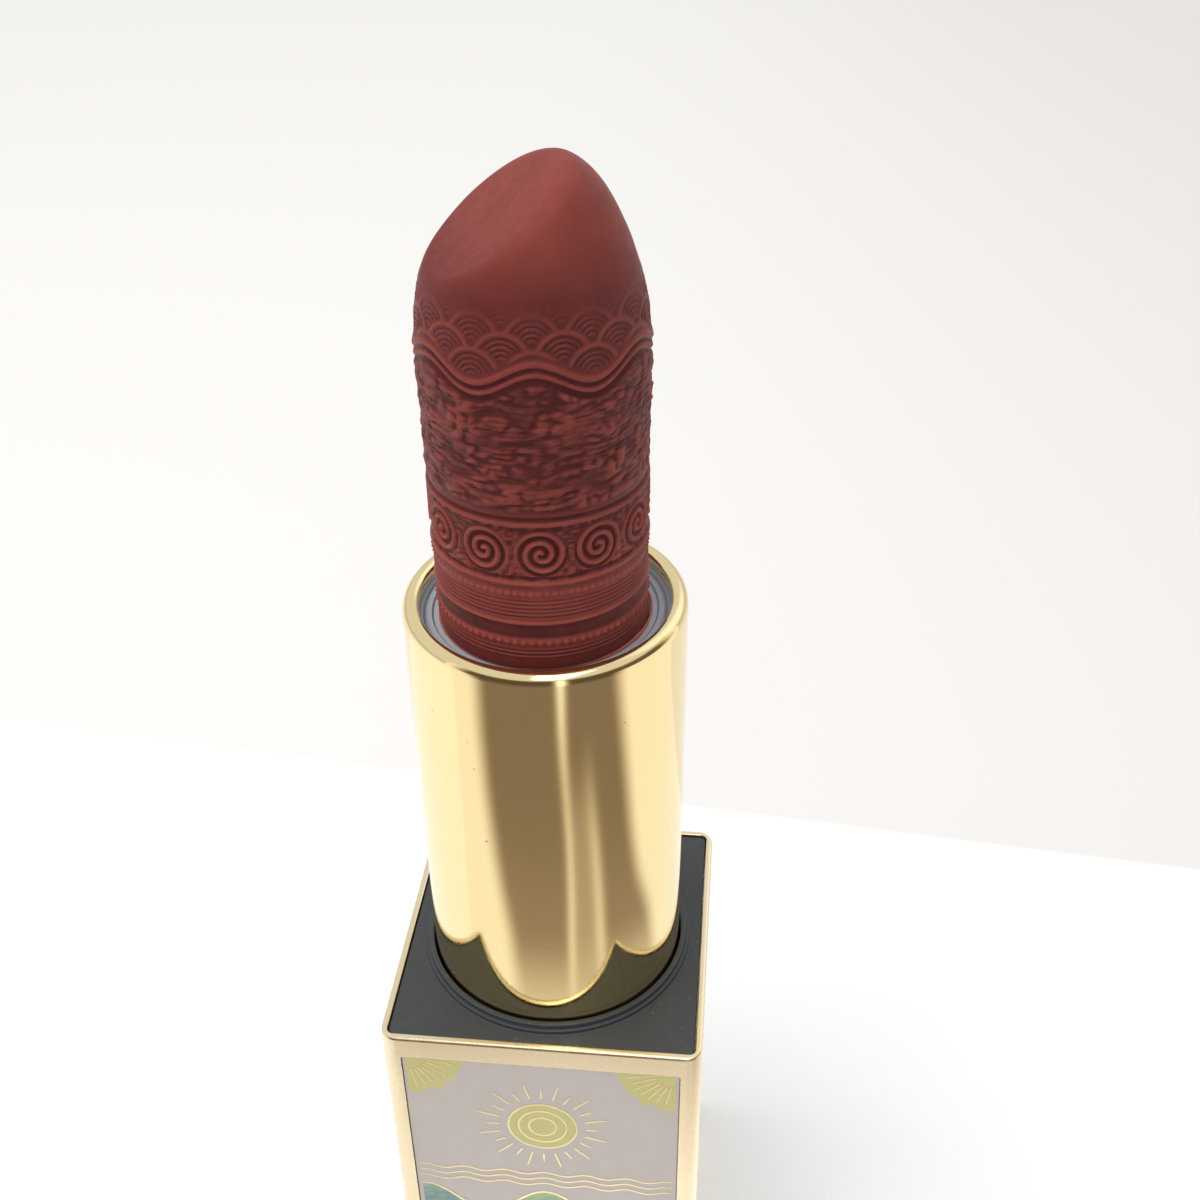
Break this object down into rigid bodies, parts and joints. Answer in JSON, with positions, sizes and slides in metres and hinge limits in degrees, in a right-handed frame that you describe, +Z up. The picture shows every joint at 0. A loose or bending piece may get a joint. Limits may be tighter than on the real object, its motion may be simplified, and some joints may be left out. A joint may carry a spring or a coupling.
{
  "type": "lipstick case",
  "caption": "Square-based twist-up lipstick case with a round metal sleeve, printed side panels and a carved slant-tip bullet raised by a helical cam sleeve and lugged cup; cap off.",
  "frame": {"origin": "middle of the base's underside, on the surface that the case stands on", "axes": "+Z up along the sleeve and the bullet; the front panel faces -Y and the square base's sides run along X and Y"},
  "size_m": [0.0208, 0.0208, 0.0856],
  "materials": {
    "satin_gold": "satin pale gold anodised",
    "mirror_gold": "bright pale gold anodised",
    "printed_panel": "satin print in lilac grey with gold lines",
    "black_plastic": "fine matt black",
    "insert_plastic": "as moulded",
    "zinc_plated_steel": "zinc plated",
    "label_film": "matt film, blank",
    "white_acetal": "as moulded",
    "silicone": "matt",
    "frosted_plastic": "frosted",
    "lipstick_wax": "matt brick-red wax with moulded relief"
  },
  "bodies": {
    "base": {"base_shell": "satin_gold", "panel_front": "printed_panel", "panel_right": "printed_panel", "panel_back": "printed_panel", "panel_left": "printed_panel", "shoulder_plate": "black_plastic", "base_insert": "insert_plastic", "base_weight": "zinc_plated_steel", "bottom_plate": "black_plastic", "shade_label": "label_film", "inner_body": "white_acetal", "drag_ring": "silicone"},
    "sleeve": {"outer_sleeve": "mirror_gold", "cam_sleeve": "frosted_plastic"},
    "carrier": {"bullet_cup": "white_acetal", "bullet": "lipstick_wax"}
  },
  "joints": [
    {"name": "sleeve_twist", "type": "hinge", "parent": "base", "child": "sleeve", "pos_m": [0, 0, 0.03185], "axis": [0, 0, 1], "range_deg": [-630, 0]},
    {"name": "bullet_lift", "type": "slide", "parent": "base", "child": "carrier", "axis": [0, 0, 1], "range_m": [-0.0271, 0]}
  ],
  "couplings": [
    {"joint": "sleeve_twist", "follows": "bullet_lift", "rad_per_m": 405.74}
  ]
}
